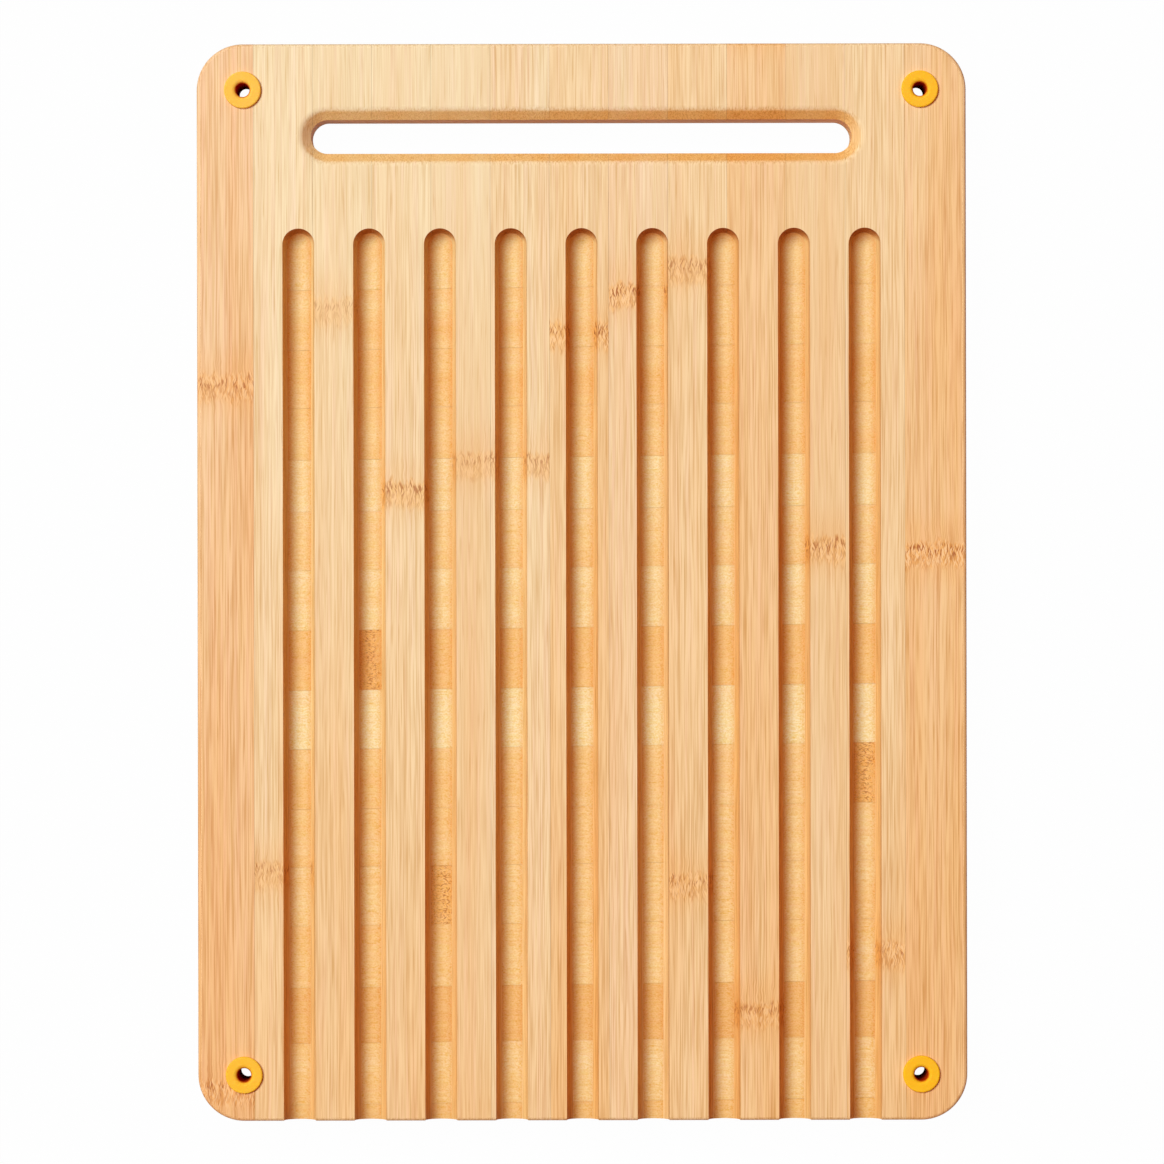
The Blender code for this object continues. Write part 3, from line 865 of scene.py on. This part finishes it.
def oiled_with_painted_shade(add, color, numbers, tone, end_grain, steep, end_darkening):
    """The colour with the oil in it, and painted shade on the groove walls, the slot and the groove ends.
    """
    # Painted shade: the steeper a routed face, the more of the wall colour it takes
    wall = add("Mix", steep, named={MIX_A: linear(FLOOR_TINT), MIX_B: linear(WALL_PAINTED_SHADE)}, **BLEND)
    color = add("Mix", numbers["routed"], named={MIX_A: color, MIX_B: wall}, **MULTIPLY)
    # Painted shade on the slot's slopes and walls, stronger on darker strips and on end grain
    slope = add("Math", numbers["slotted"], steep, operation="MULTIPLY")
    soaked_and_shaded = add("Math", tone, SLOPE_SOAKED_AND_SHADED, operation="ADD")
    soaked_and_shaded = add("Math", end_grain, SLOPE_END_GRAIN, soaked_and_shaded, operation="MULTIPLY_ADD")
    soaked_and_shaded = add("Math", soaked_and_shaded, slope, operation="MULTIPLY", use_clamp=True)
    color = add("Mix", soaked_and_shaded, named={MIX_A: color, MIX_B: linear(SLOPE_OIL_AND_PAINTED_SHADE)}, **MULTIPLY)
    # End grain darkens a little everywhere, and in the routed ends of the grooves much more, as painted
    # shade
    ends = add("Math", numbers["routed"], END_SHARE_ROUTED_PAINTED_SHADE, END_SHARE_SANDED, operation="MULTIPLY_ADD")
    ends = add("Math", ends, numbers["slotted"], operation="SUBTRACT", use_clamp=True)
    ends = add("Math", ends, end_grain, operation="MULTIPLY")
    ends = add("Math", ends, end_darkening, operation="MULTIPLY")
    return add("Mix", ends, named={MIX_A: color, MIX_B: linear(END_GRAIN_AND_PAINTED_SHADE)}, **MULTIPLY)


print("end grain takes", END_SHARE_SANDED, "of its tint, and", END_SHARE_ROUTED_PAINTED_SHADE, "more where routed")

# %% [markdown]
# ### The whole finish
#
# The steps are put together into one shader. Oil has an index of refraction of about 1.47. The
# sanded, oiled fibres are satin, a little rougher in some lines than in others, and torn fibres and
# dark lines lie a few hundredths of a millimetre deep, which a bump shows.
#
# Two materials come from it. The core lies across the board and is seen mostly in the grooves,
# where it has more speckle, shorter strokes and paler ends than the layers above and below it.

# %% Make the bamboo
LINE_DEPTH = 0.05 * MM
BUMP_STRENGTH = 0.3
STROKE_HEIGHT = 2.0
MEAN_ROUGHNESS, LINE_ROUGHNESS = 0.58, 0.25
OIL_IOR = 1.47
BAMBOO_GLOSS = 0.15


def bamboo(name, fibre_turn, fibre_shade, speckle, stroke, end_darkening):
    """Oiled bamboo. The turn brings its fibres onto the second axis."""
    material, tree = new_material(name)

    def add(kind, *inputs, **settings):
        return add_node(tree, kind, *inputs, **settings)

    numbers = {name: add("Attribute", output="Fac", attribute_name=name) for name in STRIP_NUMBERS}
    coordinates = add("TexCoord", output="Object")
    normal = coordinates.node.outputs["Normal"]
    rearward = add("SeparateXYZ", coordinates, output=1)
    place, seeded, own = strip_place(add, coordinates, fibre_turn, numbers["seed"])
    band, row, halo = knuckle_band(add, place[1], seeded, numbers)
    fibres, patterns = fibre_lines(add, place, seeded, own, halo, numbers["lean"])
    end_grain, steep = how_cut(add, normal, fibre_turn)
    tone, color = ground_color(add, numbers, rearward, halo, patterns)
    shadow = line_shadow(add, numbers, rearward, end_grain, patterns, speckle)
    color = add("Mix", shadow, named={MIX_A: color, MIX_B: linear(fibre_shade)}, **MULTIPLY)
    color, dark = broken_fibres(add, color, fibres, numbers, band, row, stroke)
    color = oiled_with_painted_shade(add, color, numbers, tone, end_grain, steep, end_darkening)

    height = add("Math", dark, STROKE_HEIGHT, shadow, operation="MULTIPLY_ADD")
    bump = add("Bump", named={"Height": height, "Strength": BUMP_STRENGTH, "Distance": -LINE_DEPTH})
    roughness = add("Math", patterns["fine"], LINE_ROUGHNESS, MEAN_ROUGHNESS, operation="MULTIPLY_ADD")
    shader = add(
        "BsdfPrincipled",
        named={
            "Base Color": color,
            "Roughness": roughness,
            "IOR": OIL_IOR,
            "Specular IOR Level": BAMBOO_GLOSS,
            "Normal": bump,
        },
    )
    add("OutputMaterial", shader)
    return material


lengthwise_bamboo = bamboo(
    "bamboo_lengthwise_oiled", fibre_turn=0.0, fibre_shade="#E2D0B5", speckle=0.4, stroke=3.0,
    end_darkening=1.0,
)
crosswise_bamboo = bamboo(
    "bamboo_crosswise_oiled", fibre_turn=math.radians(90) - CORE_SKEW, fibre_shade="#F4DC98",
    speckle=1.8, stroke=1.2, end_darkening=0.2,
)
for nodes, material, slot in (
    (face_nodes, lengthwise_bamboo, "face_bamboo"),
    (back_nodes, lengthwise_bamboo, "back_bamboo"),
    (core_nodes, crosswise_bamboo, "core_bamboo"),
):
    for node in nodes:
        strips[node].data.materials.clear()
        strips[node].data.materials.append(material)
print("bamboo nodes", len(lengthwise_bamboo.node_tree.nodes))

# %% [markdown]
# ## Moulded silicone
#
# Silicone rubber is moulded at full colour and stays a little translucent, with a satin skin that takes the
# mould's fine texture. Its highlights are soft. Light that gets in goes red before it comes out again. The
# bore lies in shade, so it is painted a deep red as painted shade, and its gloss falls to nothing there,
# because no lamp reaches it. The four grommets of the photographed board are not equally pale.

# %% Make the silicone
BORE_SHADE_WIDTH = 0.4 * BORE_MOUTH_RADIUS
GROMMET_PALENESS = (0.35, 0.1, 0.8, 0.2)
# The bore colour is painted shade, because the bore lies in shade
AMBER, PALE_AMBER, BORE_PAINTED_SHADE = "#FFB90A", "#FFC354", "#C8340A"
CLOUD_SIZE, CLOUD_SHARE = 3 * MM, 0.3
SKIN_SIZE, SKIN_DEPTH, SKIN_STRENGTH = 0.25 * MM, 0.03 * MM, 0.3
SILICONE_GLOSS = 0.15


def bore_shade_marks(mesh):
    """1 at the points in the bore, falling to 0 a little outside its walls, on the round mouths: where the
    bore's painted shade lies.
    """
    centre = sum((Vector(vert.co) for vert in mesh.vertices), Vector()) / len(mesh.vertices)
    outs = [(vert.co.xy - centre.xy).length - BORE_DIAMETER / 2 for vert in mesh.vertices]
    return [1 - min(1, max(0, out / BORE_SHADE_WIDTH)) for out in outs]


silicone, tree = new_material("silicone_moulded_amber")
place = add_node(tree, "TexCoord", output="Object")
cloud = add_node(tree, "TexNoise", named={"Vector": place, "Scale": 1 / CLOUD_SIZE, "Detail": 2.0})
skin = add_node(tree, "TexNoise", named={"Vector": place, "Scale": 1 / SKIN_SIZE, "Detail": 2.0})
paleness = add_node(tree, "Attribute", output="Fac", attribute_name="paleness")
paleness = add_node(tree, "Math", cloud, CLOUD_SHARE, paleness, operation="MULTIPLY_ADD", use_clamp=True)
color = add_node(tree, "Mix", paleness, named={MIX_A: linear(AMBER), MIX_B: linear(PALE_AMBER)}, **BLEND)
bore_shade = add_node(tree, "Attribute", output="Fac", attribute_name="bore_shade")
# Painted shade: the bore and the inner edge of its mouths turn deep red
color = add_node(tree, "Mix", bore_shade, named={MIX_A: color, MIX_B: linear(BORE_PAINTED_SHADE)}, **BLEND)
gloss = add_node(tree, "Math", bore_shade, -SILICONE_GLOSS, SILICONE_GLOSS, operation="MULTIPLY_ADD")
bump = add_node(tree, "Bump", named={"Height": skin, "Strength": SKIN_STRENGTH, "Distance": SKIN_DEPTH})
shader = add_node(
    tree, "BsdfPrincipled",
    named={
        "Base Color": color,
        "Roughness": 0.6,
        "IOR": 1.41,
        "Specular IOR Level": gloss,
        "Subsurface Weight": 0.2,
        "Subsurface Radius": (1.0, 0.35, 0.05),
        "Subsurface Scale": 1.5 * MM,
        "Normal": bump,
    },
)
add_node(tree, "OutputMaterial", shader)
for grommet, own_paleness in zip(grommets, GROMMET_PALENESS):
    mesh = grommet.data
    write_attribute(mesh, "bore_shade", "POINT", bore_shade_marks(mesh))
    # The cloud adds half of its share on average
    write_attribute(mesh, "paleness", "POINT", [own_paleness - CLOUD_SHARE / 2] * len(mesh.vertices))
    mesh.materials.clear()
    mesh.materials.append(silicone)
print("silicone on", len(grommets), "grommets")

# %% [markdown]
# ## Table, light and camera
#
# The board lies on a white table. The table and the studio look white to the camera, to a gloss and
# through clear glass, but not to the rays that light the board. So the picture gets its white
# background, and the shade in the grooves stays as dark as it is in the photograph.

# %% Lay the table
TABLE_HALF_SIDE = 3
TABLE_GLOW = 0.985
TABLE_GREY, WHITE = "#B4B4B4", "#FFFFFF"


def seen_white(tree, weight):
    """The given weight for what the camera, a gloss or clear glass sees, and 0 for other light."""
    path = add_node(tree, "LightPath").node.outputs
    seen = add_node(tree, "Math", path["Is Camera Ray"], path["Is Glossy Ray"], operation="MAXIMUM")
    seen = add_node(tree, "Math", seen, path["Is Transmission Ray"], operation="MAXIMUM")
    return add_node(tree, "Math", seen, weight, operation="MULTIPLY")


bm = bmesh.new()
bmesh.ops.create_grid(bm, x_segments=1, y_segments=1, size=TABLE_HALF_SIDE)
table = new_object("table", bm)
table_white, tree = new_material("table_white")
matt = add_node(tree, "BsdfDiffuse", linear(TABLE_GREY))
glow = add_node(tree, "Emission", linear(WHITE), 1.0)
add_node(tree, "OutputMaterial", add_node(tree, "MixShader", seen_white(tree, TABLE_GLOW), matt, glow))
table.data.materials.append(table_white)
print("table of", 2 * TABLE_HALF_SIDE, "m")

# %% [markdown]
# One large soft lamp stands up and to the left, a little towards the end with the slot. It is far
# off, so that both ends of the board get nearly the same light.
#
# A weak even light comes from all round and fills the shade. It is orange, because the shade in the
# photographed grooves is far more orange than their lit side. It adds about a fifth of the red
# light on the lit faces too, so the lamp is a little bluish to make up for that. Together they are
# nearly white there, and the board shows its own colours.

# %% Hang the lamp and fill the shade
FILL_STRENGTH = 0.21
FILL_COLOR = "#FF6A30"
LAMP_DISTANCE = 7.0
LAMP_SIDE = 3.0
LAMP_WATTS = 585
LAMP_COLOR = "#E7FCFF"
LAMP_DIRECTION = (-0.393, 0.228, 0.892)

world = bpy.data.worlds.new("studio")
world.use_nodes = True
bpy.context.scene.world = world
tree = world.node_tree
tree.nodes.clear()
white = add_node(tree, "Background", linear(WHITE), 1.0)
warm = add_node(tree, "Background", linear(FILL_COLOR), FILL_STRENGTH)
add_node(tree, "OutputWorld", add_node(tree, "MixShader", seen_white(tree, 1.0), warm, white))

lamp_data = bpy.data.lights.new("softbox", "AREA")
lamp_data.shape = "SQUARE"
lamp_data.size = LAMP_SIDE
lamp_data.energy = LAMP_WATTS
lamp_data.color = linear(LAMP_COLOR)[:3]
lamp = bpy.data.objects.new("softbox", lamp_data)
to_lamp = Vector(LAMP_DIRECTION).normalized()
lamp.location = to_lamp * LAMP_DISTANCE
lamp.rotation_euler = to_lamp.to_track_quat("Z", "Y").to_euler()
bpy.context.scene.collection.objects.link(lamp)
print("lamp at", [round(along, 2) for along in lamp.location])

# %% [markdown]
# The camera looks straight down at the middle of the board. Its distance and angle of view make
# the face fill the frame as in the photograph, and it is turned by a tenth of a degree, as the
# board in the photograph is.

# %% Set the camera
CAMERA_ABOVE_FACE = 1.7
FRAME_WIDTH_AT_FACE = 0.3782
BOARD_TURN = math.radians(0.1)
camera_data = bpy.data.cameras.new("camera")
camera_data.angle = 2 * math.atan(FRAME_WIDTH_AT_FACE / 2 / CAMERA_ABOVE_FACE)
camera = bpy.data.objects.new("camera", camera_data)
camera.location = (0, 0, FACE_Z + CAMERA_ABOVE_FACE)
camera.rotation_euler.z = -BOARD_TURN
bpy.context.scene.collection.objects.link(camera)
bpy.context.scene.camera = camera
bpy.context.scene.view_settings.view_transform = "Standard"
print("angle of view", round(math.degrees(camera_data.angle), 2), "degrees")
